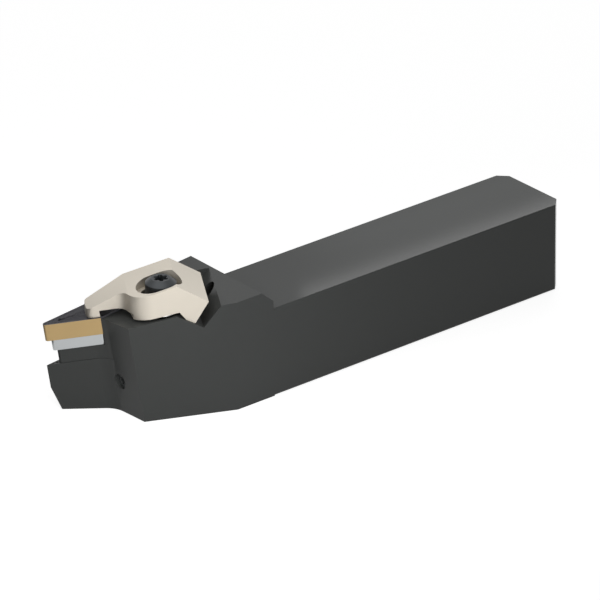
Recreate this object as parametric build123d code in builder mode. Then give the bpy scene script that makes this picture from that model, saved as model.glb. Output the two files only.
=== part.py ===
from build123d import *
import math
import os

# Left-hand turning tool holder with a top clamp.
# Origin: underside of the shank, at mid-width, where the head begins.
# +X runs to the rear end of the shank, +Y to the cutting side, +Z up. Millimetres.

# ---------------------------------------------------------------- overall
overall_length = 150.0
shank_width = 25.0
shank_height = 25.0
tip_offset = 32.0
head_length = 38.5
shank_rear_chamfer = 2.9
shank_edge_break = 0.4

# ---------------------------------------------------------------- insert and its seat
inscribed_circle = 9.525
corner_angle = 35.0
insert_thickness = 4.76
nose_radius = 0.8
insert_hole_diameter = 3.81
approach_angle = 93.0
seat_tilt = 7.5
shim_thickness = 3.18
shim_inset = 0.45
shim_hole_diameter = 4.6
shim_countersink_diameter = 7.0
pocket_corner_relief = 1.0
shim_screw_diameter = 4.0
shim_screw_below = 0.3
shim_screw_head_clearance = 0.02
shim_screw_length = 8.4
shim_screw_socket = 2.0
shim_screw_socket_depth = 1.5
shim_screw_room = 0.5

# ---------------------------------------------------------------- head
flare_angle = 24.1
plateau_height = 30.65
plateau_rear = 8.4
head_rear = 12.2
plateau_chamfer_drop = 3.35
head_flank_run = 2.9
head_flank_side = 2.7
deck_drop = 0.35
front_wall_start = 17.99
front_wall_side = 14.46
front_wall_slope = 66.1
throat_radius = 6.0
block_inset = 0.66
ledge_depth = 12.0
neck_near_inset = 0.86
neck_far_inset = 0.72
chin_height = 6.55
chin_angle = 22.9

# ---------------------------------------------------------------- groove behind the clamp
groove_angle = 29.5
groove_setback = 39.58
groove_floor_height = 24.76
groove_back_slope = 50.1
groove_front_slope = 29.9
groove_width_inside = 22.0

# ---------------------------------------------------------------- clamp
clamp_setback = 31.77
clamp_near_inset = 0.6
clamp_far_wall = 16.0
clamp_back_near = 8.3
clamp_back_far = 10.0
clamp_front_near = 10.5
clamp_throat = 12.6
clamp_throat_side = 8.0
clamp_nose_setback = 10.17
clamp_nose_side = 10.2
clamp_nose_skew = 0.7
clamp_thickness = 8.2
clamp_top_slope = 13.35
clamp_rear_slope = 33.0
clamp_nose_break = 12.25
clamp_nose_slope = 30.0
clamp_under_gap = 0.75
clamp_seat_gap = 0.05
clamp_foot_lead = 2.15
clamp_foot_land = 2.3
clamp_foot_rear_slope = 57.0
clamp_top_lean = 0.035
clamp_rear_lean = 0.13
clamp_pad_end = 13.4
clamp_arm_start = 10.9
clamp_arm_rise = 1.4
clamp_foot_front_slope = 1.4
clamp_front_radius = 6.0
clamp_throat_radius = 3.4
clamp_nose_radius = 2.0
clamp_tip_radius = 0.8
clamp_pin_clearance = 0.4
clamp_pin_length = 1.2

# ---------------------------------------------------------------- clamp screw and spring
screw_diameter = 6.0
screw_along = 2.9
screw_side = 6.0
screw_head_diameter = 8.2
screw_crown_diameter = 5.0
screw_crown_height = 1.2
screw_head_height = 4.2
screw_proud = 1.2
screw_length = 23.0
screw_thread_clearance = 0.05
screw_bottom_room = 1.0
screw_point = 0.8
socket_lobe = 0.55
socket_diameter = 3.9
socket_depth = 2.2
slot_side_clearance = 0.5
slot_travel = 2.8
slot_setback = 0.9
slot_neck_clearance = 0.4
spring_wire = 0.9
spring_radial_clearance = 0.5
spring_bore_depth = 6.0
spring_turns = 4.0
spring_wire_sides = 8
spring_seat_rise = 0.6
spring_end_gap = 0.1

# ---------------------------------------------------------------- coolant
coolant_bore_diameter = 6.0
coolant_height = 12.5
inlet_diameter = 8.8
inlet_depth = 11.0
main_bore_end = 2.0
plug_diameter = 4.1
plug_length = 4.0
plug_recess = 0.3
plug_along = 15.35
plug_side = 7.63
plug_depth = 18.06
plug_socket_across = 2.0
plug_clearance = 0.02
cross_bore_diameter = 3.2
feed_bore_diameter = 2.0
outlet_diameter = 0.56
top_outlet_diameter = 5.0
top_outlet_height = 28.6
top_outlet_inside = 13.1
top_outlet_meets = 17.0
feed_start_along = 5.0
feed_start_side = 0.35
feed_start_depth = 17.5
feed_end_along = 30.0
feed_end_side = -5.1
feed_end_depth = 18.3
outlet_places = (0.0, 1.15, 2.3)

# ---------------------------------------------------------------- derived places
half_corner = math.radians(corner_angle / 2)
half_width = shank_width / 2
insert_edge = inscribed_circle / math.sin(2 * half_corner)
half_long = insert_edge * math.cos(half_corner)
half_short = insert_edge * math.sin(half_corner)
sharp_reach = nose_radius / math.sin(half_corner)
insert_middle = half_long - sharp_reach
tilt = math.radians(seat_tilt)
bisector_angle = corner_angle / 2 + approach_angle - 90
bisector = Vector(1, 0, 0).rotate(Axis.Z, -bisector_angle)
seat_origin = Vector(
    nose_radius - head_length,
    tip_offset - half_width - nose_radius,
    shank_height + nose_radius * math.tan(tilt),
)
seat_normal = Vector(-bisector.X * math.sin(tilt), -bisector.Y * math.sin(tilt), math.cos(tilt))
seat_direction = Vector(bisector.X * math.cos(tilt), bisector.Y * math.cos(tilt), math.sin(tilt))
# Seat plane: x runs from the tip back over the insert, y to the cutting side, z out of the seat.
seat_plane = Plane(origin=seat_origin, x_dir=seat_direction, z_dir=seat_normal)
seat_depth = insert_thickness + shim_thickness

near_corner = Vector(0, -half_width, 0)
flare_direction = Vector(-1, 0, 0).rotate(Axis.Z, -flare_angle)
flare_inward = flare_direction.rotate(Axis.Z, -90)
groove_direction = Vector(-1, 0, 0).rotate(Axis.Z, -groove_angle)
groove_inward = groove_direction.rotate(Axis.Z, -90)
flare_side_plane = Plane(origin=near_corner, x_dir=flare_direction, z_dir=flare_inward)
groove_side_plane = Plane(origin=near_corner, x_dir=groove_direction, z_dir=groove_inward)
clamp_datum = (seat_origin - near_corner).dot(flare_direction) - clamp_setback
clamp_nose_reach = clamp_setback - clamp_nose_setback
groove_bottom = (seat_origin - near_corner).dot(groove_direction) - groove_setback
clamp_foot_start = groove_bottom + clamp_foot_lead
far = 70.0


def seat_point(along, side, height):
    """Point given by its place on the seat plane and its height over it."""
    return seat_plane.from_local_coords((along, side, height))


def clamp_point(along, inward, height):
    """Point given along and in from the flare face, at a height over the base."""
    return near_corner + flare_direction * (clamp_datum + along) + flare_inward * inward + Vector(0, 0, height)


def deck_height(point):
    """Height of the sloping top of the head over a place in plan."""
    level = seat_point(0, 0, -deck_drop)
    return level.Z - ((point.X - level.X) * seat_normal.X + (point.Y - level.Y) * seat_normal.Y) / seat_normal.Z


def wedge_outline(near_inset, far_inset):
    """Corner point and slope of a wedge inset from the two front edges of the insert."""
    corner = (near_inset + far_inset) / (2 * math.sin(half_corner)) - sharp_reach
    side = (near_inset - far_inset) / (2 * math.cos(half_corner))
    return corner, side


screw_place = clamp_point(screw_along, screw_side, 0)
screw_deck = deck_height(screw_place)
clamp_ridge_height = deck_height(clamp_point(0, 0, 0)) + clamp_thickness
clamp_nose_height = clamp_ridge_height - clamp_nose_break * math.tan(math.radians(clamp_top_slope))
clamp_top_at_screw = clamp_ridge_height - screw_along * math.tan(math.radians(clamp_top_slope))
screw_top = clamp_top_at_screw + screw_proud
screw_seat = screw_top - screw_head_height
screw_tip = screw_top - screw_length
spring_floor = screw_deck - spring_bore_depth
spring_top = screw_deck + clamp_under_gap + spring_seat_rise
slot_radius = screw_head_diameter / 2 + slot_side_clearance
slot_neck_radius = screw_diameter / 2 + slot_neck_clearance
spring_radius = slot_neck_radius + spring_radial_clearance + spring_wire / 2
spring_bore_radius = spring_radius + spring_wire / 2 + spring_radial_clearance
plug_face = seat_point(plug_along, -plug_side, -plug_depth)
cross_target = Vector(main_bore_end + coolant_bore_diameter, 0, coolant_height)
cross_direction = (cross_target - plug_face).normalized()
shank_end = overall_length - head_length


def rhombus(inset):
    """Corner points of the insert's outline, moved in by the inset, on the seat plane."""
    long_way = half_long - inset / math.sin(half_corner)
    short_way = half_short - inset / math.cos(half_corner)
    return [
        (insert_middle - long_way, 0),
        (insert_middle, -short_way),
        (insert_middle + long_way, 0),
        (insert_middle, short_way),
    ]


def make_insert():
    with BuildPart() as insert:
        with BuildSketch(seat_plane) as outline:
            with BuildLine():
                Polyline(*rhombus(0), close=True)
            make_face()
            fillet(outline.vertices(), nose_radius)
            with Locations((insert_middle, 0)):
                Circle(insert_hole_diameter / 2, mode=Mode.SUBTRACT)
        extrude(amount=-insert_thickness)
    insert.part.label = "insert"
    return insert.part


def make_shim():
    shim_top = seat_plane.offset(-insert_thickness)
    with BuildPart() as shim:
        with BuildSketch(shim_top) as outline:
            with BuildLine():
                Polyline(*rhombus(shim_inset), close=True)
            make_face()
            fillet(outline.vertices(), nose_radius)
        extrude(amount=-shim_thickness)
        with Locations(shim_top * Location((insert_middle, 0, 0))):
            CounterSinkHole(shim_hole_diameter / 2, shim_countersink_diameter / 2, shim_thickness, 90)
    shim.part.label = "shim"
    return shim.part


def make_shim_screw():
    head_top = seat_plane.offset(-insert_thickness - shim_screw_below)
    head_radius = shim_countersink_diameter / 2 - shim_screw_below - shim_screw_head_clearance
    with BuildPart() as screw:
        with BuildSketch(head_top):
            with Locations((insert_middle, 0)):
                Circle(head_radius)
        with BuildSketch(head_top.offset(shim_screw_diameter / 2 - head_radius)):
            with Locations((insert_middle, 0)):
                Circle(shim_screw_diameter / 2)
        loft()
        with BuildSketch(head_top):
            with Locations((insert_middle, 0)):
                Circle(shim_screw_diameter / 2)
        extrude(amount=-shim_screw_length)
        with BuildSketch(head_top):
            with Locations((insert_middle, 0)):
                RegularPolygon(shim_screw_socket / 2, 6, major_radius=False)
        extrude(amount=-shim_screw_socket_depth, mode=Mode.SUBTRACT)
    screw.part.label = "shim_screw"
    return screw.part


def head_block():
    """The head as one forging: flare face, relief faces, sloping deck and raised plateau."""
    flare_end = near_corner + flare_direction * far
    with BuildPart() as block:
        with BuildSketch(Plane.XY):
            with BuildLine():
                Polyline(
                    (near_corner.X, near_corner.Y),
                    (flare_end.X, flare_end.Y),
                    (flare_end.X, far),
                    (head_rear, far),
                    (head_rear, near_corner.Y),
                    close=True,
                )
            make_face()
        extrude(amount=plateau_height)
        add(outside_of_head(), mode=Mode.SUBTRACT)
        add(above_deck(), mode=Mode.SUBTRACT)
        rear_edges = block.edges().filter_by(Axis.Y).group_by(Axis.Z)[-1].sort_by(Axis.X)
        chamfer(rear_edges[-1], plateau_chamfer_drop, head_rear - plateau_rear)
    return block.part


def front_wall(corner, corner_side):
    """The throat's virtual corner, where a near relief face meets the front wall, and the wall's far end."""
    slope = math.radians(front_wall_slope)
    wall_foot = (
        front_wall_start + far * math.cos(slope),
        -front_wall_side - far * math.sin(slope),
    )
    near_slope = math.tan(half_corner)
    wall_slope = math.tan(slope)
    throat = (
        corner_side + near_slope * corner + front_wall_side - wall_slope * front_wall_start
    ) / (near_slope - wall_slope)
    return (throat, corner_side - near_slope * (throat - corner)), wall_foot


def outside_of_head():
    """What is milled away round the nose: both relief faces and the throat between them."""
    corner, corner_side = wedge_outline(block_inset, 0)
    throat, wall_foot = front_wall(corner, corner_side)
    near_slope = math.tan(half_corner)
    with BuildPart() as cutter:
        with BuildSketch(seat_plane):
            with BuildLine():
                Polyline(
                    (-far, 0),
                    (corner, corner_side),
                    (corner + 2 * far, corner_side + 2 * far * near_slope),
                    (corner + 2 * far, 2 * far),
                    (-far, 2 * far),
                    close=True,
                )
            make_face()
        extrude(amount=far, both=True)
        with BuildSketch(seat_plane) as near:
            with BuildLine():
                Polyline(
                    (-far, 0),
                    (corner, corner_side),
                    throat,
                    wall_foot,
                    (-far, wall_foot[1]),
                    close=True,
                )
            make_face()
            bend = near.vertices().sort_by_distance((*throat, 0))[0]
            fillet(bend, throat_radius)
        extrude(amount=far, both=True)
    return cutter.part


def above_deck():
    with BuildPart() as cutter:
        with BuildSketch(seat_plane.offset(-deck_drop)):
            Rectangle(4 * far, 4 * far)
        extrude(amount=far)
    return cutter.part


def insert_pocket():
    """Space of the insert and shim, with a relief hole at the rear corner."""
    rear = insert_middle + half_long
    with BuildPart() as cutter:
        with BuildSketch(seat_plane.offset(-seat_depth)):
            with BuildLine():
                Polyline(
                    (-far, -half_short),
                    (insert_middle, -half_short),
                    (rear, 0),
                    (insert_middle, half_short),
                    (-far, half_short),
                    close=True,
                )
            make_face()
            with Locations((rear - sharp_reach, 0)):
                Circle(pocket_corner_relief)
        extrude(amount=far)
    return cutter.part


def neck_relief():
    """Step under the shim: a neck set back from the ledge, which runs out in the throat."""
    corner, corner_side = wedge_outline(neck_near_inset, neck_far_inset)
    throat, wall_foot = front_wall(corner, corner_side)
    far_side = corner_side + math.tan(half_corner) * (insert_middle - corner)
    with BuildPart() as cutter:
        with BuildSketch(seat_plane.offset(-ledge_depth)) as step:
            with Locations((corner, 0)):
                Rectangle(2 * far, 2 * far)
            with BuildLine():
                Polyline(
                    (corner, corner_side),
                    throat,
                    wall_foot,
                    (2 * far, wall_foot[1]),
                    (2 * far, 2 * far),
                    (insert_middle, 2 * far),
                    (insert_middle, far_side),
                    close=True,
                )
            make_face(mode=Mode.SUBTRACT)
            for bend, radius in (((corner, corner_side), nose_radius), (throat, throat_radius)):
                fillet(step.vertices().sort_by_distance((*bend, 0))[0], radius)
        extrude(amount=ledge_depth)
    return cutter.part


def chin_cut():
    """Slanting cut under the nose."""
    corner, corner_side = wedge_outline(block_inset, 0)
    height = (chin_height - seat_origin.Z - corner * seat_direction.Z) / seat_normal.Z
    start = seat_point(corner, corner_side, height)
    sideways = seat_plane.y_dir
    downward = Vector(0, 0, -1).rotate(Axis((0, 0, 0), sideways), -chin_angle)
    with BuildPart() as cutter:
        with BuildSketch(Plane(origin=start, x_dir=downward, z_dir=sideways.cross(downward) * -1)):
            Rectangle(2 * far, 2 * far)
        extrude(amount=-far)
    return cutter.part


def clamp_groove():
    """V groove across the head, closed by a wall before the cutting side."""
    back = math.radians(groove_back_slope)
    front = math.radians(groove_front_slope)
    rise = plateau_height + far / 4 - groove_floor_height
    with BuildPart() as cutter:
        with BuildSketch(groove_side_plane):
            with BuildLine():
                Polyline(
                    (groove_bottom, groove_floor_height),
                    (groove_bottom + rise / math.tan(front), groove_floor_height + rise),
                    (groove_bottom - rise / math.tan(back), groove_floor_height + rise),
                    close=True,
                )
            make_face()
        extrude(amount=far, both=True)
        end_wall = Plane(
            origin=near_corner + flare_inward * groove_width_inside,
            x_dir=flare_direction,
            z_dir=flare_inward,
        )
        split(bisect_by=end_wall, keep=Keep.BOTTOM)
    return cutter.part


def coolant_ways():
    """All the drillings: inlet, main bore, way to the groove, cross bore, feed and outlets."""
    outlet_mouth = (
        near_corner
        + groove_direction * (
            groove_bottom
            - (top_outlet_height - groove_floor_height) / math.tan(math.radians(groove_back_slope))
        )
        + groove_inward * top_outlet_inside
        + Vector(0, 0, top_outlet_height)
    )
    outlet_way = Vector(top_outlet_meets, 0, coolant_height) - outlet_mouth
    feed_start = seat_point(feed_start_along, feed_start_side, -feed_start_depth)
    feed_way = seat_point(feed_end_along, feed_end_side, -feed_end_depth) - feed_start
    cross_way = cross_target - plug_face
    with BuildPart() as ways:
        with BuildSketch(Plane(origin=(shank_end, 0, coolant_height), z_dir=(-1, 0, 0))):
            Circle(inlet_diameter / 2)
        extrude(amount=inlet_depth)
        with BuildSketch(Plane(origin=(shank_end, 0, coolant_height), z_dir=(-1, 0, 0))):
            Circle(coolant_bore_diameter / 2)
        extrude(amount=shank_end - main_bore_end)
        with BuildSketch(Plane(origin=outlet_mouth, z_dir=outlet_way)):
            Circle(top_outlet_diameter / 2)
        extrude(amount=outlet_way.length)
        with BuildSketch(Plane(origin=outlet_mouth, z_dir=outlet_way)):
            Circle(top_outlet_diameter / 2)
        extrude(amount=-top_outlet_diameter)
        with BuildSketch(Plane(origin=plug_face - cross_direction * plug_diameter, z_dir=cross_way)):
            Circle(plug_diameter / 2 + plug_clearance)
        extrude(amount=plug_diameter + plug_recess + plug_length)
        with BuildSketch(Plane(origin=plug_face, z_dir=cross_way)):
            Circle(cross_bore_diameter / 2)
        extrude(amount=cross_way.length)
        with BuildSketch(Plane(origin=feed_start, z_dir=feed_way)):
            Circle(feed_bore_diameter / 2)
        extrude(amount=feed_way.length)
        for along in outlet_places:
            mouth = seat_point(along, feed_start_side, -ledge_depth)
            outlet = feed_start - mouth
            with BuildSketch(Plane(origin=mouth - outlet / 8, z_dir=outlet)):
                Circle(outlet_diameter / 2)
            extrude(amount=9 * outlet.length / 8)
    return ways.part


def screw_bores():
    """Bores for the clamp screw, its spring and the shim screw."""
    shim_bore = shim_screw_diameter / 2 + screw_thread_clearance
    with BuildPart() as bores:
        with BuildSketch(Plane.XY.offset(spring_floor)):
            with Locations((screw_place.X, screw_place.Y)):
                Circle(spring_bore_radius)
        extrude(amount=far)
        with BuildSketch(Plane.XY.offset(screw_tip - screw_bottom_room)):
            with Locations((screw_place.X, screw_place.Y)):
                Circle(screw_diameter / 2 + screw_thread_clearance)
        extrude(amount=far)
        with BuildSketch(seat_plane.offset(-insert_thickness)):
            with Locations((insert_middle, 0)):
                Circle(shim_bore)
        extrude(amount=-shim_screw_below - shim_screw_length - shim_screw_room)
    return bores.part


def make_holder_body():
    with BuildPart() as body:
        with BuildSketch(Plane.XY) as section:
            with Locations((shank_end / 2, 0)):
                Rectangle(shank_end, shank_width)
        extrude(amount=shank_height)
        end_face = body.faces().sort_by(Axis.X)[-1]
        chamfer(end_face.edges().filter_by(Axis.Z), shank_rear_chamfer)
        long_edges = body.edges().filter_by(Axis.X)
        chamfer(long_edges, shank_edge_break)
        add(head_block())
        with BuildSketch(Plane.XY):
            with BuildLine():
                Polyline(
                    (head_rear, 0),
                    (head_rear + head_flank_run, 0),
                    (head_rear + head_flank_run, half_width),
                    (head_rear, half_width + head_flank_side),
                    close=True,
                )
            make_face()
        extrude(amount=shank_height)
        add(clamp_groove(), mode=Mode.SUBTRACT)
        add(insert_pocket(), mode=Mode.SUBTRACT)
        add(neck_relief(), mode=Mode.SUBTRACT)
        add(chin_cut(), mode=Mode.SUBTRACT)
        add(coolant_ways(), mode=Mode.SUBTRACT)
        add(screw_bores(), mode=Mode.SUBTRACT)
    body.part.label = "holder_body"
    return body.part


def sloped_plane(along, inward, height, slope_along, slope_inward):
    """Plane through a place on the clamp that rises by the two slopes, in height per length."""
    normal = Vector(0, 0, 1) - flare_direction * slope_along - flare_inward * slope_inward
    return Plane(origin=clamp_point(along, inward, height), z_dir=normal)


def under_arm():
    """What is cleared further under the arm, past the clamp's front corner."""
    with BuildPart() as cutter:
        with BuildSketch(seat_plane.offset(clamp_under_gap - deck_drop + clamp_arm_rise)):
            Rectangle(4 * far, 4 * far)
        extrude(amount=-far)
        split(
            bisect_by=Plane(origin=clamp_point(clamp_arm_start, 0, 0), z_dir=flare_direction),
            keep=Keep.TOP,
        )
    return cutter.part


def under_clamp():
    """What is cleared under the clamp: all below its underside except the foot and nose pad."""
    front = math.tan(math.radians(groove_front_slope))
    rear = math.tan(math.radians(clamp_foot_rear_slope))
    foot_height = groove_floor_height + (clamp_foot_start - groove_bottom) * front + clamp_seat_gap
    land_end = clamp_foot_start + clamp_foot_land
    top = 2 * groove_floor_height
    with BuildPart() as cutter:
        with BuildSketch(seat_plane.offset(clamp_under_gap - deck_drop)):
            Rectangle(4 * far, 4 * far)
        extrude(amount=-far)
        add(under_arm())
        with BuildSketch(seat_plane.offset(clamp_seat_gap)):
            with Locations((clamp_pad_end - far, 0)):
                Rectangle(2 * far, 2 * far)
        extrude(amount=far, mode=Mode.SUBTRACT)
        with BuildSketch(groove_side_plane):
            with BuildLine():
                Polyline(
                    (clamp_foot_start, foot_height),
                    (land_end, foot_height + clamp_foot_land * front),
                    (land_end + (top - foot_height) / clamp_foot_front_slope, top),
                    (clamp_foot_start - (top - foot_height) / rear, top),
                    close=True,
                )
            make_face()
        extrude(amount=far, both=True, mode=Mode.SUBTRACT)
    return cutter.part


def behind_foot():
    """What is cleared behind the foot's rear flank, above the underside level."""
    front = math.tan(math.radians(groove_front_slope))
    rear = math.tan(math.radians(clamp_foot_rear_slope))
    foot_height = groove_floor_height + (clamp_foot_start - groove_bottom) * front + clamp_seat_gap
    top = 2 * groove_floor_height
    with BuildPart() as cutter:
        with BuildSketch(groove_side_plane):
            with BuildLine():
                Polyline(
                    (clamp_foot_start, foot_height),
                    (clamp_foot_start - (top - foot_height) / rear, top),
                    (-far, top),
                    (-far, foot_height),
                    close=True,
                )
            make_face()
        extrude(amount=far, both=True)
    return cutter.part


def make_clamp():
    slot_front = screw_along - slot_setback + slot_travel
    plan = [
        clamp_point(-clamp_back_near, clamp_near_inset, 0),
        clamp_point(clamp_front_near, clamp_near_inset, 0),
        clamp_point(clamp_throat, clamp_throat_side, 0),
        clamp_point(clamp_nose_reach, clamp_nose_side, 0),
        clamp_point(clamp_nose_reach - clamp_nose_skew, clamp_far_wall, 0),
        clamp_point(-clamp_back_far, clamp_far_wall, 0),
    ]
    slot_ends = [
        clamp_point(screw_along - slot_setback, screw_side, 0),
        clamp_point(slot_front, screw_side, 0),
    ]
    base = groove_floor_height - clamp_under_gap
    pin_radius = insert_hole_diameter / 2 - clamp_pin_clearance
    with BuildPart() as clamp:
        with BuildSketch(Plane.XY.offset(base)) as outline:
            with BuildLine():
                Polyline(*[(point.X, point.Y) for point in plan], close=True)
            make_face()
            for corner, radius in (
                (plan[1], clamp_front_radius),
                (plan[2], clamp_throat_radius),
                (plan[3], clamp_nose_radius),
                (plan[4], clamp_tip_radius),
            ):
                bend = outline.vertices().sort_by_distance((corner.X, corner.Y, 0))[0]
                fillet(bend, radius)
        extrude(amount=2 * shank_height)
        split(
            bisect_by=sloped_plane(
                0, 0, clamp_ridge_height, -math.tan(math.radians(clamp_top_slope)), clamp_top_lean
            ),
            keep=Keep.BOTTOM,
        )
        split(
            bisect_by=sloped_plane(
                0, 0, clamp_ridge_height, math.tan(math.radians(clamp_rear_slope)), clamp_rear_lean
            ),
            keep=Keep.BOTTOM,
        )
        split(
            bisect_by=sloped_plane(
                clamp_nose_break, 0, clamp_nose_height, -math.tan(math.radians(clamp_nose_slope)), 0
            ),
            keep=Keep.BOTTOM,
        )
        add(under_clamp(), mode=Mode.SUBTRACT)
        add(behind_foot(), mode=Mode.SUBTRACT)
        with BuildSketch(Plane.XY.offset(screw_seat)):
            with Locations(*[(end.X, end.Y) for end in slot_ends]):
                Circle(slot_radius)
            middle = (slot_ends[0] + slot_ends[1]) / 2
            with Locations(Location((middle.X, middle.Y), -flare_angle)):
                Rectangle(slot_travel, 2 * slot_radius)
        extrude(amount=far, mode=Mode.SUBTRACT)
        with BuildSketch(Plane.XY):
            with Locations(*[(end.X, end.Y) for end in slot_ends]):
                Circle(slot_neck_radius)
            with Locations(Location((middle.X, middle.Y), -flare_angle)):
                Rectangle(slot_travel, 2 * slot_neck_radius)
        extrude(amount=far, mode=Mode.SUBTRACT)
        with BuildSketch(Plane.XY):
            with Locations((screw_place.X, screw_place.Y)):
                Circle(spring_bore_radius)
        extrude(amount=spring_top, mode=Mode.SUBTRACT)
        with BuildSketch(seat_plane.offset(-clamp_pin_length)):
            with Locations((insert_middle, 0)):
                Circle(pin_radius)
        extrude(amount=clamp_pin_length + clamp_under_gap + clamp_arm_rise)
    clamp.part.label = "clamp"
    return clamp.part


def make_clamp_screw():
    head_radius = screw_head_diameter / 2
    radius = screw_diameter / 2
    with BuildPart() as screw:
        with BuildSketch(Plane(origin=(screw_place.X, screw_place.Y, 0), x_dir=(1, 0, 0), z_dir=(0, -1, 0))):
            with BuildLine():
                Polyline(
                    (0, screw_top),
                    (screw_crown_diameter / 2, screw_top),
                    (head_radius, screw_top - screw_crown_height),
                    (head_radius, screw_seat + clamp_seat_gap),
                    (radius, screw_seat + clamp_seat_gap),
                    (radius, screw_tip + screw_point),
                    (radius - screw_point, screw_tip),
                    (0, screw_tip),
                    close=True,
                )
            make_face()
        revolve(axis=Axis((screw_place.X, screw_place.Y, 0), (0, 0, 1)))
        with BuildSketch(Plane.XY.offset(screw_top)):
            with Locations((screw_place.X, screw_place.Y)):
                Circle(socket_diameter / 2 - socket_lobe)
                with PolarLocations(socket_diameter / 2 - socket_lobe, 6):
                    Circle(socket_lobe)
        extrude(amount=-socket_depth, mode=Mode.SUBTRACT)
    screw.part.label = "clamp_screw"
    return screw.part


def make_clamp_spring():
    height = spring_top - spring_floor - spring_wire - 2 * spring_end_gap
    start = spring_floor + spring_wire / 2 + spring_end_gap
    with BuildPart() as spring:
        with BuildLine() as path:
            Helix(
                pitch=height / spring_turns,
                height=height,
                radius=spring_radius,
                center=(screw_place.X, screw_place.Y, start),
            )
        with BuildSketch(Plane(origin=path.line @ 0, z_dir=path.line % 0)):
            RegularPolygon(spring_wire / 2, spring_wire_sides)
        sweep(path=path.line)
    spring.part.label = "clamp_spring"
    return spring.part


def make_coolant_plug():
    face = plug_face + cross_direction * plug_recess
    with BuildPart() as plug:
        with BuildSketch(Plane(origin=face, z_dir=cross_direction)):
            Circle(plug_diameter / 2)
        extrude(amount=plug_length)
        with BuildSketch(Plane(origin=face, z_dir=cross_direction)):
            RegularPolygon(plug_socket_across / 2, 6, major_radius=False)
        extrude(amount=plug_length / 2, mode=Mode.SUBTRACT)
    plug.part.label = "coolant_plug"
    return plug.part


os.makedirs("parts", exist_ok=True)
for piece in (
    make_holder_body(),
    make_insert(),
    make_shim(),
    make_shim_screw(),
    make_clamp(),
    make_clamp_screw(),
    make_clamp_spring(),
    make_coolant_plug(),
):
    export_step(piece, f"parts/{piece.label}.step")
    print(piece.label, round(piece.volume, 2), piece.is_valid, len(piece.solids()))
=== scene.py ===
from math import cos, pi, radians, sin
import bmesh
import bpy
from bpy.props import FloatProperty, FloatVectorProperty, PointerProperty
from mathutils import Matrix, Vector


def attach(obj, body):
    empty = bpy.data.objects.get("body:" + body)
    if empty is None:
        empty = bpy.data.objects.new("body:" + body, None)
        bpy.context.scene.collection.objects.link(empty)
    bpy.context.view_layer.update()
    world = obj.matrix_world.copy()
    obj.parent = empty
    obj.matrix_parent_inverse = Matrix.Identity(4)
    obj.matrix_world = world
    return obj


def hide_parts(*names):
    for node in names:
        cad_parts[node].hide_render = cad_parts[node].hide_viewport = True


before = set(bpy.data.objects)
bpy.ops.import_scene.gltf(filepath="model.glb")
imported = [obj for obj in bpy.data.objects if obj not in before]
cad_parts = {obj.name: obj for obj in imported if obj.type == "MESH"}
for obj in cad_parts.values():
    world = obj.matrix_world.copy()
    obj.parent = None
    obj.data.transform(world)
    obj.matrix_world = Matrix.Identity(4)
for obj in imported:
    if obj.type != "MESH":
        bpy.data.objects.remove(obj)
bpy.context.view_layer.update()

bl_info = {
    "name": "Turning tool holder looks",
    "version": (1, 0, 0),
    "blender": (4, 5, 0),
    "location": "3D View > Sidebar > Tool Holder",
    "description": "Edges, insert form, finishes and stage of a clamped turning tool holder",
    "category": "Object",
}

MM = 0.001

# Mesh work: welding of the CAD triangles, and the angles that count as flat, sharp or smooth.
WELD_DISTANCE = 0.002 * MM
FLAT_ANGLE = radians(0.4)
SHARP_ANGLE = radians(28)
HEAD_SHARP_ANGLE = radians(25)
SMOOTH_ANGLE = radians(40)
SHIM_EDGE = 0.12 * MM

# Height of a finish's grain, and how much the grain changes the roughness.
GRAIN_HEIGHT = 0.02 * MM
GRAIN_ON_ROUGHNESS = 0.12

# The colour sockets of a Mix node, which share their names with its other sockets.
MIX_FIRST, MIX_SECOND, MIX_RESULT = 6, 7, 2

# The plane of the insert's top: its origin is the centre of the nose radius.
CORNER_ANGLE = radians(35.0)
INSCRIBED_CIRCLE = 9.525 * MM
INSERT_THICKNESS = 4.76 * MM
NOSE_RADIUS = 0.8 * MM
SEAT_TILT = radians(7.5)
BISECTOR_ANGLE = radians(20.5)
SEAT_ORIGIN = Vector((-37.7, 18.7, 25.1053)) * MM
SEAT_ALONG = Vector((
    cos(BISECTOR_ANGLE) * cos(SEAT_TILT), -sin(BISECTOR_ANGLE) * cos(SEAT_TILT), sin(SEAT_TILT)
))
SEAT_UP = Vector((
    -cos(BISECTOR_ANGLE) * sin(SEAT_TILT), sin(BISECTOR_ANGLE) * sin(SEAT_TILT), cos(SEAT_TILT)
))

# Insert form. The groove's steps give the way in from the land, the corner radius there, and
# the share of the groove's depth.
HOLE_RADIUS = 3.81 * MM / 2
HOLE_RIM = 0.2 * MM
HOLE_SURROUND = 2.4 * MM
EDGE_BREAK = 0.03 * MM
CHIP_GROOVE = (
    (0.35 * MM, 0.40 * MM, 1.0),
    (0.75 * MM, 0.45 * MM, 1.0),
    (1.15 * MM, 0.55 * MM, 0.0),
)
ACUTE_STEPS = 14
BLUNT_STEPS = 6
# Past this the flanks take the dark coating instead of gold: painted shade on the rear flanks.
GOLD_PAST_MIDDLE = 0.2 * MM

# Stage: name, place, turn about X, size and power of each lamp.
LAMPS = (
    ("near_lamp", (-0.055, -0.12, 0.055), radians(68), (0.06, 0.04), 0.062),
    ("head_lamp", (-0.034, 0.0, 0.110), 0.0, (0.08, 0.08), 0.026),
    ("strip_lamp", (0.096, 0.013, 0.046), radians(-55), (0.104, 0.012), 0.0080),
)
ROOM_LIGHT = 0.27
ROOM_SEEN = 1.0
FLOOR_REACH = 6.0
FLOOR_DROP = 0.05 * MM
FLOOR_SHADE = 0.6
FLOOR_SEEN = 0.83
CARD_SIZE = (0.10, 0.05)
CARD_TURN = radians(51)
CARD_PLACE = (-0.057, 0.040, 0.026)

# How far the camera stands along its own right, up and back directions.
CAMERA_RIGHT = 23.834 * MM
CAMERA_UP = 24.104 * MM
CAMERA_BACK = 1584.275 * MM


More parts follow.
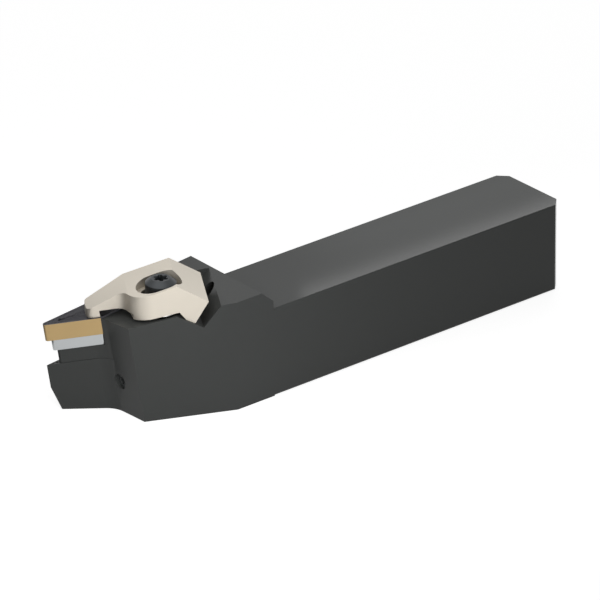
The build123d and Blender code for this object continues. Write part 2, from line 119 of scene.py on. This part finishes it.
def seat_matrix():
    """Places a shape drawn on the insert's top plane."""
    turn = Matrix((SEAT_ALONG, SEAT_UP.cross(SEAT_ALONG), SEAT_UP)).transposed()
    return Matrix.Translation(SEAT_ORIGIN) @ turn.to_4x4()


# ------------------------------------------------------------------ sizes and colours
class HolderSettings(bpy.types.PropertyGroup):
    edge: FloatProperty(
        name="Edge rounding", description="Width of the broken edges of the body",
        default=0.14 * MM, min=0.0, unit="LENGTH", precision=5)
    colour: FloatVectorProperty(
        name="Body colour", description="Dark surface treatment of the body",
        default=(0.0745, 0.078, 0.076), size=3, min=0.0, max=1.0, subtype="COLOR")


class InsertSettings(bpy.types.PropertyGroup):
    flank: FloatVectorProperty(
        name="Flank colour", description="Gold coating on the insert's flanks",
        default=(0.44, 0.31, 0.145), size=3, min=0.0, max=1.0, subtype="COLOR")
    # This dark coating also paints the shade on the insert's rear flanks.
    top: FloatVectorProperty(
        name="Top colour", description="Dark coating on the insert's top and underside",
        default=(0.085, 0.084, 0.097), size=3, min=0.0, max=1.0, subtype="COLOR")
    land: FloatProperty(
        name="Land", description="Width of the flat land along the cutting edge",
        default=0.22 * MM, min=0.0, unit="LENGTH", precision=5)
    groove: FloatProperty(
        name="Chip groove", description="Depth of the groove behind the cutting edge",
        default=0.2 * MM, min=0.0, unit="LENGTH", precision=5)
    shim: FloatVectorProperty(
        name="Shim colour", description="Ground carbide of the shim",
        default=(0.43, 0.445, 0.45), size=3, min=0.0, max=1.0, subtype="COLOR")


class ClampSettings(bpy.types.PropertyGroup):
    edge: FloatProperty(
        name="Edge rounding", description="Width of the rounded edges of the clamp",
        default=0.4 * MM, min=0.0, unit="LENGTH", precision=5)
    colour: FloatVectorProperty(
        name="Clamp colour", description="Satin nickel of the clamp",
        default=(0.70, 0.645, 0.555), size=3, min=0.0, max=1.0, subtype="COLOR")


class ScrewSettings(bpy.types.PropertyGroup):
    edge: FloatProperty(
        name="Edge rounding", description="Width of the rounded edges of the screw head",
        default=0.12 * MM, min=0.0, unit="LENGTH", precision=5)
    colour: FloatVectorProperty(
        name="Screw colour", description="Dark oxide of the screws",
        default=(0.038, 0.042, 0.045), size=3, min=0.0, max=1.0, subtype="COLOR")


class StageSettings(bpy.types.PropertyGroup):
    lens: FloatProperty(
        name="Lens", description="Focal length of the camera in millimetres",
        default=366.39, min=1.0)
    azimuth: FloatProperty(
        name="Azimuth", description="Angle of the camera round the tool",
        default=radians(-38.767), unit="ROTATION")
    elevation: FloatProperty(
        name="Elevation", description="Angle of the camera over the floor",
        default=radians(26.043), unit="ROTATION")
    roll: FloatProperty(
        name="Roll", description="Turn of the camera about its own axis",
        default=radians(-0.768), unit="ROTATION")


# ------------------------------------------------------------------ node helpers
def add_node(tree, kind, place, **values):
    node = tree.nodes.new(kind)
    node.location = place
    for name, value in values.items():
        setattr(node, name, value)
    return node


def add_sockets(tree, values, outputs):
    """Gives a node group its number inputs with their values, and its outputs."""
    for label, value in values:
        socket = tree.interface.new_socket(label, in_out="INPUT", socket_type="NodeSocketFloat")
        socket.default_value = value
    for label, kind in outputs:
        tree.interface.new_socket(label, in_out="OUTPUT", socket_type=kind)


def fine_finish_group():
    """Fine grain and broad cloudiness of a treated metal surface, from object coordinates."""
    name = "Fine finish"
    if name in bpy.data.node_groups:
        return bpy.data.node_groups[name]
    tree = bpy.data.node_groups.new(name, "ShaderNodeTree")
    tree.interface.new_socket("Colour", in_out="INPUT", socket_type="NodeSocketColor")
    add_sockets(
        tree,
        (("Grain Size", 3000.0), ("Grain Strength", 0.5), ("Cloud Size", 45.0),
         ("Cloud Strength", 0.1), ("Roughness", 0.4)),
        (("Colour", "NodeSocketColor"), ("Roughness", "NodeSocketFloat"),
         ("Height", "NodeSocketFloat")))
    given = add_node(tree, "NodeGroupInput", (-900, 0))
    made = add_node(tree, "NodeGroupOutput", (700, 0))
    place = add_node(tree, "ShaderNodeTexCoord", (-900, 300))
    grain = add_node(tree, "ShaderNodeTexNoise", (-600, 250))
    grain.inputs["Detail"].default_value = 3.0
    cloud = add_node(tree, "ShaderNodeTexNoise", (-600, -50))
    cloud.inputs["Detail"].default_value = 4.0
    link = tree.links.new
    link(place.outputs["Object"], grain.inputs["Vector"])
    link(place.outputs["Object"], cloud.inputs["Vector"])
    link(given.outputs["Grain Size"], grain.inputs["Scale"])
    link(given.outputs["Cloud Size"], cloud.inputs["Scale"])
    grain_share = add_node(tree, "ShaderNodeMath", (-350, 250), operation="MULTIPLY")
    link(grain.outputs["Fac"], grain_share.inputs[0])
    link(given.outputs["Grain Strength"], grain_share.inputs[1])
    centred = add_node(tree, "ShaderNodeMath", (-350, -50), operation="SUBTRACT")
    link(cloud.outputs["Fac"], centred.inputs[0])
    centred.inputs[1].default_value = 0.5
    cloud_share = add_node(tree, "ShaderNodeMath", (-150, -50), operation="MULTIPLY")
    link(centred.outputs[0], cloud_share.inputs[0])
    link(given.outputs["Cloud Strength"], cloud_share.inputs[1])
    brighter = add_node(tree, "ShaderNodeMath", (50, -50), operation="ADD")
    link(cloud_share.outputs[0], brighter.inputs[0])
    brighter.inputs[1].default_value = 1.0
    tint = add_node(tree, "ShaderNodeVectorMath", (300, -50), operation="SCALE")
    link(given.outputs["Colour"], tint.inputs[0])
    link(brighter.outputs[0], tint.inputs["Scale"])
    rough_grain = add_node(tree, "ShaderNodeMath", (50, 200), operation="MULTIPLY_ADD")
    link(grain_share.outputs[0], rough_grain.inputs[0])
    rough_grain.inputs[1].default_value = GRAIN_ON_ROUGHNESS
    link(given.outputs["Roughness"], rough_grain.inputs[2])
    rough = add_node(tree, "ShaderNodeMath", (300, 200), operation="ADD")
    link(rough_grain.outputs[0], rough.inputs[0])
    link(cloud_share.outputs[0], rough.inputs[1])
    link(tint.outputs[0], made.inputs["Colour"])
    link(rough.outputs[0], made.inputs["Roughness"])
    link(grain_share.outputs[0], made.inputs["Height"])
    return tree


def painted_edge_highlight_group():
    """Mask that is 1 on corners and edges, where a highlight is painted in a brighter colour."""
    name = "Edge wear"
    if name in bpy.data.node_groups:
        return bpy.data.node_groups[name]
    tree = bpy.data.node_groups.new(name, "ShaderNodeTree")
    add_sockets(
        tree, (("Reach", 0.3 * MM), ("Amount", 0.5), ("Break Up", 900.0)),
        (("Mask", "NodeSocketFloat"),))
    given = add_node(tree, "NodeGroupInput", (-900, 0))
    made = add_node(tree, "NodeGroupOutput", (700, 0))
    rounded = add_node(tree, "ShaderNodeBevel", (-600, 150), samples=4)
    flat = add_node(tree, "ShaderNodeNewGeometry", (-600, -50))
    place = add_node(tree, "ShaderNodeTexCoord", (-900, -300))
    patchy = add_node(tree, "ShaderNodeTexNoise", (-600, -300))
    patchy.inputs["Detail"].default_value = 2.0
    link = tree.links.new
    link(given.outputs["Reach"], rounded.inputs["Radius"])
    link(place.outputs["Object"], patchy.inputs["Vector"])
    link(given.outputs["Break Up"], patchy.inputs["Scale"])
    alike = add_node(tree, "ShaderNodeVectorMath", (-350, 50), operation="DOT_PRODUCT")
    link(rounded.outputs["Normal"], alike.inputs[0])
    link(flat.outputs["Normal"], alike.inputs[1])
    differs = add_node(tree, "ShaderNodeMapRange", (-100, 50))
    link(alike.outputs["Value"], differs.inputs["Value"])
    differs.inputs["From Min"].default_value = 0.99
    differs.inputs["From Max"].default_value = 0.80
    broken = add_node(tree, "ShaderNodeMapRange", (-100, -300))
    link(patchy.outputs["Fac"], broken.inputs["Value"])
    broken.inputs["From Min"].default_value = 0.35
    broken.inputs["From Max"].default_value = 0.65
    broken.inputs["To Min"].default_value = 0.55
    share = add_node(tree, "ShaderNodeMath", (200, 0), operation="MULTIPLY")
    link(differs.outputs["Result"], share.inputs[0])
    link(broken.outputs["Result"], share.inputs[1])
    amount = add_node(tree, "ShaderNodeMath", (450, 0), operation="MULTIPLY")
    link(share.outputs[0], amount.inputs[0])
    link(given.outputs["Amount"], amount.inputs[1])
    link(amount.outputs[0], made.inputs["Mask"])
    return tree


def metal(name, colour, metallic, roughness, grain=(3000.0, 0.5), cloud=(45.0, 0.1),
          edge_highlight=0.0, highlight_colour=(0.4, 0.4, 0.4), reach=0.3 * MM, specular=0.5):
    """A treated metal: its finish varies finely and in clouds, and its edges get a painted
    highlight.
    """
    if name in bpy.data.materials:
        return bpy.data.materials[name]
    material = bpy.data.materials.new(name)
    material.use_nodes = True
    tree = material.node_tree
    link = tree.links.new
    shader = tree.nodes["Principled BSDF"]
    shader.inputs["Metallic"].default_value = metallic
    shader.inputs["Specular IOR Level"].default_value = specular
    finish = add_node(tree, "ShaderNodeGroup", (-500, 100), node_tree=fine_finish_group())
    finish.inputs["Grain Size"].default_value = grain[0]
    finish.inputs["Grain Strength"].default_value = grain[1]
    finish.inputs["Cloud Size"].default_value = cloud[0]
    finish.inputs["Cloud Strength"].default_value = cloud[1]
    finish.inputs["Roughness"].default_value = roughness
    finish.inputs["Colour"].default_value = (*colour, 1.0)
    raised = add_node(tree, "ShaderNodeBump", (-250, -250))
    raised.inputs["Distance"].default_value = GRAIN_HEIGHT
    raised.inputs["Strength"].default_value = 0.5
    link(finish.outputs["Height"], raised.inputs["Height"])
    link(raised.outputs["Normal"], shader.inputs["Normal"])
    link(finish.outputs["Roughness"], shader.inputs["Roughness"])
    # Painted highlight: the edges are mixed towards a brighter colour.
    if edge_highlight:
        edges = add_node(tree, "ShaderNodeGroup", (-500, 400), node_tree=painted_edge_highlight_group())
        edges.inputs["Amount"].default_value = edge_highlight
        edges.inputs["Reach"].default_value = reach
        mixed = add_node(tree, "ShaderNodeMix", (-250, 250), data_type="RGBA")
        link(edges.outputs["Mask"], mixed.inputs["Factor"])
        link(finish.outputs["Colour"], mixed.inputs[MIX_FIRST])
        mixed.inputs[MIX_SECOND].default_value = (*highlight_colour, 1.0)
        link(mixed.outputs[MIX_RESULT], shader.inputs["Base Color"])
    else:
        link(finish.outputs["Colour"], shader.inputs["Base Color"])
    return material


# ------------------------------------------------------------------ mesh helpers
def object_from(bm, name, materials):
    """Turns the bmesh into an object of the scene."""
    mesh = bpy.data.meshes.new(name)
    bm.to_mesh(mesh)
    bm.free()
    for material in materials:
        mesh.materials.append(material)
    made = bpy.data.objects.new(name, mesh)
    bpy.context.scene.collection.objects.link(made)
    return made


def finish_piece(bm, name, materials, body, node):
    """Turns the bmesh into a piece that rides on a body, in place of a CAD node."""
    bmesh.ops.recalc_face_normals(bm, faces=bm.faces)
    piece = object_from(bm, name, materials)
    piece.data.shade_smooth()
    piece.data.set_sharp_from_angle(angle=SMOOTH_ANGLE)
    shading = piece.modifiers.new("Flat faces stay flat", "WEIGHTED_NORMAL")
    shading.weight = 100
    shading.keep_sharp = True
    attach(piece, body)
    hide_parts(node)


def merged_copy(node):
    """The CAD node's triangles as one welded shell with its flat faces joined up."""
    bm = bmesh.new()
    bm.from_mesh(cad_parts[node].data)
    bmesh.ops.remove_doubles(bm, verts=bm.verts, dist=WELD_DISTANCE)
    bmesh.ops.dissolve_limit(
        bm, angle_limit=FLAT_ANGLE, verts=bm.verts, edges=bm.edges, use_dissolve_boundaries=False)
    return bm


def round_edges(bm, width, angle=SHARP_ANGLE, segments=2):
    """Rounds every edge sharper than the angle."""
    sharp = [
        edge for edge in bm.edges
        if len(edge.link_faces) == 2 and edge.calc_face_angle(0.0) > angle
    ]
    bmesh.ops.bevel(
        bm, geom=sharp, offset=width, offset_type="OFFSET", affect="EDGES", segments=segments,
        profile=0.5, material=-1, clamp_overlap=True, loop_slide=True, miter_outer="ARC",
        miter_inner="SHARP")


# ------------------------------------------------------------------ pieces
class TOOL_OT_holder_body(bpy.types.Operator):
    """Make the one-piece body with broken edges and its dark finish"""
    bl_idname = "tool.holder_body"
    bl_label = "Holder body"

    def execute(self, context):
        settings = context.scene.tool_holder
        # Its edges get a painted highlight in a brighter grey.
        steel = metal(
            "treated_steel", settings.colour, metallic=0.0, roughness=0.20, specular=0.12,
            grain=(2600.0, 0.4), cloud=(38.0, 0.08), edge_highlight=0.16, highlight_colour=(0.10, 0.10, 0.10),
            reach=0.25 * MM)
        bm = merged_copy("holder_body")
        round_edges(bm, settings.edge)
        finish_piece(bm, "body_with_broken_edges", [steel], "holder", "holder_body")
        return {"FINISHED"}


class TOOL_OT_insert(bpy.types.Operator):
    """Make the rhombic insert with its chip grooves, lands and hole"""
    bl_idname = "tool.insert"
    bl_label = "Cutting insert"

    def execute(self, context):
        settings = context.scene.tool_insert
        gold = metal(
            "gold_coating", settings.flank, metallic=0.75, roughness=0.36, grain=(5200.0, 0.6),
            cloud=(160.0, 0.16))
        black = metal(
            "dark_coating_and_painted_shade", settings.top, metallic=0.3, roughness=0.38, grain=(5200.0, 0.7),
            cloud=(160.0, 0.2))
        bm = bmesh.new()
        shape_half(bm, settings)
        bmesh.ops.mirror(
            bm, geom=bm.verts[:] + bm.edges[:] + bm.faces[:], matrix=Matrix.Identity(4),
            merge_dist=0.001 * MM, axis="Z")
        bmesh.ops.recalc_face_normals(bm, faces=bm.faces)
        bmesh.ops.translate(bm, verts=bm.verts, vec=(0, 0, -INSERT_THICKNESS / 2))
        # Gold only on the front flanks; the rear flanks get the dark coating as painted shade.
        for face in bm.faces:
            face.material_index = 0 if is_front_flank(face) else 1
        bm.transform(seat_matrix())
        finish_piece(bm, "rhombic_insert", [gold, black], "holder", "insert")
        return {"FINISHED"}


def insert_half_sizes():
    """Half of the rhomb's long and short diagonals, before its corners are rounded."""
    edge = INSCRIBED_CIRCLE / sin(CORNER_ANGLE)
    return edge * cos(CORNER_ANGLE / 2), edge * sin(CORNER_ANGLE / 2)


def insert_middle():
    """How far the hole lies behind the centre of the nose radius."""
    long_half, _ = insert_half_sizes()
    return long_half - NOSE_RADIUS / sin(CORNER_ANGLE / 2)


def is_front_flank(face):
    """True on the upright faces that stand free of the pocket, and not in the hole; the rear
    flanks get the dark coating as painted shade instead of their gold.
    """
    centre = face.calc_center_median()
    from_hole = Vector((centre.x - insert_middle(), centre.y)).length
    in_front = centre.x < insert_middle() + GOLD_PAST_MIDDLE
    return in_front and abs(face.normal.z) < 0.5 and from_hole > HOLE_SURROUND


def rounded_rhomb(bm, inset, radius, height):
    """Outline moved in by the inset: each corner is an arc spun round its own centre."""
    long_half, short_half = insert_half_sizes()
    middle = insert_middle()
    acute = long_half - (inset + radius) / sin(CORNER_ANGLE / 2)
    blunt = short_half - (inset + radius) / cos(CORNER_ANGLE / 2)
    corners = (
        (Vector((middle + acute, 0, height)), 0.0, pi - CORNER_ANGLE, ACUTE_STEPS),
        (Vector((middle, blunt, height)), pi / 2, CORNER_ANGLE, BLUNT_STEPS),
        (Vector((middle - acute, 0, height)), pi, pi - CORNER_ANGLE, ACUTE_STEPS),
        (Vector((middle, -blunt, height)), 3 * pi / 2, CORNER_ANGLE, BLUNT_STEPS),
    )
    ends = []
    loop = []
    for centre, facing, sweep, steps in corners:
        start = facing - sweep / 2
        first = bm.verts.new(centre + radius * Vector((cos(start), sin(start), 0)))
        before = set(bm.verts)
        turned = bmesh.ops.spin(
            bm, geom=[first], cent=centre, axis=(0, 0, 1), angle=sweep, steps=steps,
            use_merge=False, use_duplicate=False)
        last = [v for v in turned["geom_last"] if isinstance(v, bmesh.types.BMVert)][0]
        loop += {e for v in set(bm.verts) - before for e in v.link_edges}
        ends.append((first, last))
    for (_, last), (first, _) in zip(ends, ends[1:] + ends[:1]):
        loop.append(bm.edges.new((last, first)))
    return loop


def shape_half(bm, settings):
    """Upper half of the insert: flank, land, chip groove, raised middle and the hole."""
    half = INSERT_THICKNESS / 2
    land_end = EDGE_BREAK + settings.land
    steps = [
        (0.0, NOSE_RADIUS, 0.0),
        (0.0, NOSE_RADIUS, half - EDGE_BREAK),
        (EDGE_BREAK, NOSE_RADIUS - EDGE_BREAK, half),
        (land_end, NOSE_RADIUS - land_end, half),
    ]
    for way_in, corner, share in CHIP_GROOVE:
        steps.append((land_end + way_in, corner, half - share * settings.groove))
    loops = [rounded_rhomb(bm, *step) for step in steps]
    for radius, height in (
        (HOLE_RADIUS + HOLE_RIM, half), (HOLE_RADIUS, half - HOLE_RIM), (HOLE_RADIUS, 0.0),
    ):
        ring = bmesh.ops.create_circle(
            bm, segments=len(loops[0]), radius=radius,
            matrix=Matrix.Translation((insert_middle(), 0, height)))["verts"]
        loops.append(list({e for v in ring for e in v.link_edges}))
    for one, other in zip(loops, loops[1:]):
        bmesh.ops.bridge_loops(bm, edges=one + other)


class TOOL_OT_shim(bpy.types.Operator):
    """Make the ground carbide shim under the insert, and finish its screw"""
    bl_idname = "tool.shim"
    bl_label = "Shim"

    def execute(self, context):
        settings = context.scene.tool_insert
        carbide = metal(
            "ground_carbide", settings.shim, metallic=0.85, roughness=0.30, grain=(4200.0, 0.6),
            cloud=(120.0, 0.12))
        bm = merged_copy("shim")
        round_edges(bm, SHIM_EDGE)
        finish_piece(bm, "ground_shim", [carbide], "holder", "shim")
        paint("shim_screw", screw_oxide(context))
        return {"FINISHED"}


class TOOL_OT_clamp(bpy.types.Operator):
    """Make the top clamp with its rounded edges and satin finish"""
    bl_idname = "tool.clamp"
    bl_label = "Top clamp"

    def execute(self, context):
        settings = context.scene.tool_clamp
        # Its edges get a painted highlight in a paler nickel.
        nickel = metal(
            "satin_nickel", settings.colour, metallic=0.5, roughness=0.42, grain=(3400.0, 0.7),
            cloud=(90.0, 0.06), edge_highlight=0.25, highlight_colour=(0.9, 0.86, 0.78), reach=0.35 * MM)
        bm = merged_copy("clamp")
        round_edges(bm, settings.edge, segments=3)
        finish_piece(bm, "clamp_with_round_edges", [nickel], "clamp", "clamp")
        return {"FINISHED"}


class TOOL_OT_clamp_screw(bpy.types.Operator):
    """Make the six-lobe clamp screw, and finish the spring round it"""
    bl_idname = "tool.clamp_screw"
    bl_label = "Clamp screw"

    def execute(self, context):
        settings = context.scene.tool_screw
        bm = merged_copy("clamp_screw")
        round_edges(bm, settings.edge, angle=HEAD_SHARP_ANGLE)
        finish_piece(
            bm, "six_lobe_screw", [screw_oxide(context)], "screw", "clamp_screw")
        wire = metal("spring_wire", (0.42, 0.42, 0.41), metallic=1.0, roughness=0.3)
        paint("clamp_spring", wire)
        return {"FINISHED"}


class TOOL_OT_coolant_plug(bpy.types.Operator):
    """Finish the set screw that closes the cross drilling"""
    bl_idname = "tool.coolant_plug"
    bl_label = "Coolant plug"

    def execute(self, context):
        # Its edges get a painted highlight in a lighter grey.
        steel = metal(
            "plug_steel", (0.16, 0.17, 0.17), metallic=0.6, roughness=0.34, edge_highlight=0.6,
            highlight_colour=(0.4, 0.4, 0.4), reach=0.15 * MM)
        paint("coolant_plug", steel)
        return {"FINISHED"}


def screw_oxide(context):
    """The dark finish that the clamp screw and the shim screw share."""
    settings = context.scene.tool_screw
    # Its edges get a painted highlight in a lighter grey.
    return metal(
        "dark_oxide", settings.colour, metallic=0.6, roughness=0.36, grain=(4000.0, 0.6),
        cloud=(200.0, 0.15), edge_highlight=0.45, highlight_colour=(0.22, 0.22, 0.22), reach=0.2 * MM)


def paint(node, material):
    """Gives a CAD node its finish."""
    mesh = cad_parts[node].data
    mesh.materials.clear()
    mesh.materials.append(material)


# ------------------------------------------------------------------ stage
class TOOL_OT_stage(bpy.types.Operator):
    """Set up the pale floor, the soft lamps and the camera"""
    bl_idname = "tool.stage"
    bl_label = "Stage"

    def execute(self, context):
        settings = context.scene.tool_stage
        make_floor()
        make_world(context.scene)
        make_flag()
        for lamp in LAMPS:
            make_lamp(*lamp)
        make_camera(context.scene, settings)
        context.scene.view_settings.view_transform = "Standard"
        return {"FINISHED"}


def seen_ray(tree, place):
    """1 for the rays that show the background: camera, glossy and transmission rays."""
    path = add_node(tree, "ShaderNodeLightPath", place)
    both = add_node(tree, "ShaderNodeMath", (place[0] + 200, place[1]), operation="MAXIMUM")
    every = add_node(tree, "ShaderNodeMath", (place[0] + 400, place[1]), operation="MAXIMUM")
    tree.links.new(path.outputs["Is Camera Ray"], both.inputs[0])
    tree.links.new(path.outputs["Is Glossy Ray"], both.inputs[1])
    tree.links.new(both.outputs[0], every.inputs[0])
    tree.links.new(path.outputs["Is Transmission Ray"], every.inputs[1])
    return every.outputs[0]


def make_floor():
    """A plain pale floor that shows as white where no shadow falls."""
    bm = bmesh.new()
    bmesh.ops.create_grid(
        bm, x_segments=1, y_segments=1, size=FLOOR_REACH,
        matrix=Matrix.Translation((0, 0, -FLOOR_DROP)))
    object_from(bm, "floor", [floor_material()])


def floor_material():
    material = bpy.data.materials.new("pale_floor")
    material.use_nodes = True
    tree = material.node_tree
    tree.nodes.remove(tree.nodes["Principled BSDF"])
    matte = add_node(tree, "ShaderNodeBsdfDiffuse", (0, 0))
    matte.inputs["Color"].default_value = (FLOOR_SHADE, FLOOR_SHADE, FLOOR_SHADE, 1.0)
    glow = add_node(tree, "ShaderNodeEmission", (0, -200))
    glow.inputs["Color"].default_value = (1.0, 1.0, 1.0, 1.0)
    level = add_node(tree, "ShaderNodeMath", (-200, -200), operation="MULTIPLY")
    level.inputs[1].default_value = FLOOR_SEEN
    tree.links.new(seen_ray(tree, (-900, -200)), level.inputs[0])
    tree.links.new(level.outputs[0], glow.inputs["Strength"])
    total = add_node(tree, "ShaderNodeAddShader", (250, 0))
    tree.links.new(matte.outputs[0], total.inputs[0])
    tree.links.new(glow.outputs[0], total.inputs[1])
    tree.links.new(total.outputs[0], tree.nodes["Material Output"].inputs["Surface"])
    return material


def make_flag():
    """An upright black card beyond the tip that gives the metal some contrast, itself unseen."""
    bm = bmesh.new()
    bmesh.ops.create_grid(bm, x_segments=1, y_segments=1, size=0.5)
    bmesh.ops.scale(bm, verts=bm.verts, vec=(*CARD_SIZE, 1.0))
    bmesh.ops.rotate(bm, verts=bm.verts, matrix=Matrix.Rotation(pi / 2, 3, "X"))
    bmesh.ops.rotate(bm, verts=bm.verts, matrix=Matrix.Rotation(CARD_TURN, 3, "Z"))
    bmesh.ops.translate(bm, verts=bm.verts, vec=CARD_PLACE)
    material = bpy.data.materials.new("black_card")
    material.use_nodes = True
    shader = material.node_tree.nodes["Principled BSDF"]
    shader.inputs["Base Color"].default_value = (0.01, 0.01, 0.01, 1.0)
    shader.inputs["Roughness"].default_value = 1.0
    shader.inputs["Specular IOR Level"].default_value = 0.0
    flag = object_from(bm, "flag", [material])
    flag.visible_camera = False
    flag.visible_shadow = False


def make_world(scene):
    """Soft light from all round, and white wherever the background is seen."""
    world = bpy.data.worlds.new("soft_room")
    world.use_nodes = True
    scene.world = world
    tree = world.node_tree
    room = tree.nodes["Background"]
    room.inputs["Color"].default_value = (1.0, 1.0, 1.0, 1.0)
    level = add_node(tree, "ShaderNodeMapRange", (-200, 0))
    level.inputs["To Min"].default_value = ROOM_LIGHT
    level.inputs["To Max"].default_value = ROOM_SEEN
    tree.links.new(seen_ray(tree, (-900, 0)), level.inputs["Value"])
    tree.links.new(level.outputs[0], room.inputs["Strength"])


def make_lamp(name, place, turn, size, power):
    """A soft lamp that the camera doesn't see."""
    data = bpy.data.lights.new(name, "AREA")
    data.shape = "RECTANGLE"
    data.size, data.size_y = size
    data.energy = power
    lamp = bpy.data.objects.new(name, data)
    lamp.location = place
    lamp.rotation_euler = (turn, 0.0, 0.0)
    lamp.visible_camera = False
    bpy.context.scene.collection.objects.link(lamp)


def make_camera(scene, settings):
    """A long lens that looks at the near side and the top, with the tip to the left."""
    az, el, roll = settings.azimuth, settings.elevation, settings.roll
    back = Vector((sin(az) * cos(el), -cos(az) * cos(el), sin(el)))
    level_right = (-back).cross(Vector((0, 0, 1))).normalized()
    level_up = level_right.cross(-back)
    right = cos(roll) * level_right + sin(roll) * level_up
    up = -sin(roll) * level_right + cos(roll) * level_up
    centre = right * CAMERA_RIGHT + up * CAMERA_UP + back * CAMERA_BACK
    data = bpy.data.cameras.new("view")
    data.lens = settings.lens
    data.sensor_width = 36.0
    data.sensor_fit = "HORIZONTAL"
    data.clip_start = 0.05
    data.clip_end = 20.0
    camera = bpy.data.objects.new("view", data)
    turn = Matrix((right, up, back)).transposed()
    camera.matrix_world = Matrix.Translation(centre) @ turn.to_4x4()
    scene.collection.objects.link(camera)
    scene.camera = camera


# ------------------------------------------------------------------ panel and registration
MAKERS = (
    TOOL_OT_stage, TOOL_OT_holder_body, TOOL_OT_insert, TOOL_OT_shim, TOOL_OT_clamp,
    TOOL_OT_clamp_screw, TOOL_OT_coolant_plug,
)
GROUPS = {
    "tool_holder": HolderSettings, "tool_insert": InsertSettings, "tool_clamp": ClampSettings,
    "tool_screw": ScrewSettings, "tool_stage": StageSettings,
}


class TOOL_PT_sidebar(bpy.types.Panel):
    """Lists the makers of the pieces and the sizes and colours that they use"""
    bl_label = "Tool Holder"
    bl_idname = "TOOL_PT_sidebar"
    bl_space_type = "VIEW_3D"
    bl_region_type = "UI"
    bl_category = "Tool Holder"

    def draw(self, context):
        for maker in MAKERS:
            self.layout.operator(maker.bl_idname)
        for group in GROUPS:
            settings = getattr(context.scene, group)
            box = self.layout.box()
            for name in settings.__annotations__:
                box.prop(settings, name)


def register():
    for name, group in GROUPS.items():
        bpy.utils.register_class(group)
        setattr(bpy.types.Scene, name, PointerProperty(type=group))
    for maker in MAKERS:
        bpy.utils.register_class(maker)
    bpy.utils.register_class(TOOL_PT_sidebar)


def unregister():
    bpy.utils.unregister_class(TOOL_PT_sidebar)
    for maker in reversed(MAKERS):
        bpy.utils.unregister_class(maker)
    for name, group in GROUPS.items():
        delattr(bpy.types.Scene, name)
        bpy.utils.unregister_class(group)


def main():
    register()
    bpy.ops.tool.stage()
    bpy.ops.tool.holder_body()
    bpy.ops.tool.insert()
    bpy.ops.tool.shim()
    bpy.ops.tool.clamp()
    bpy.ops.tool.clamp_screw()
    bpy.ops.tool.coolant_plug()


if __name__ == "__main__":
    main()
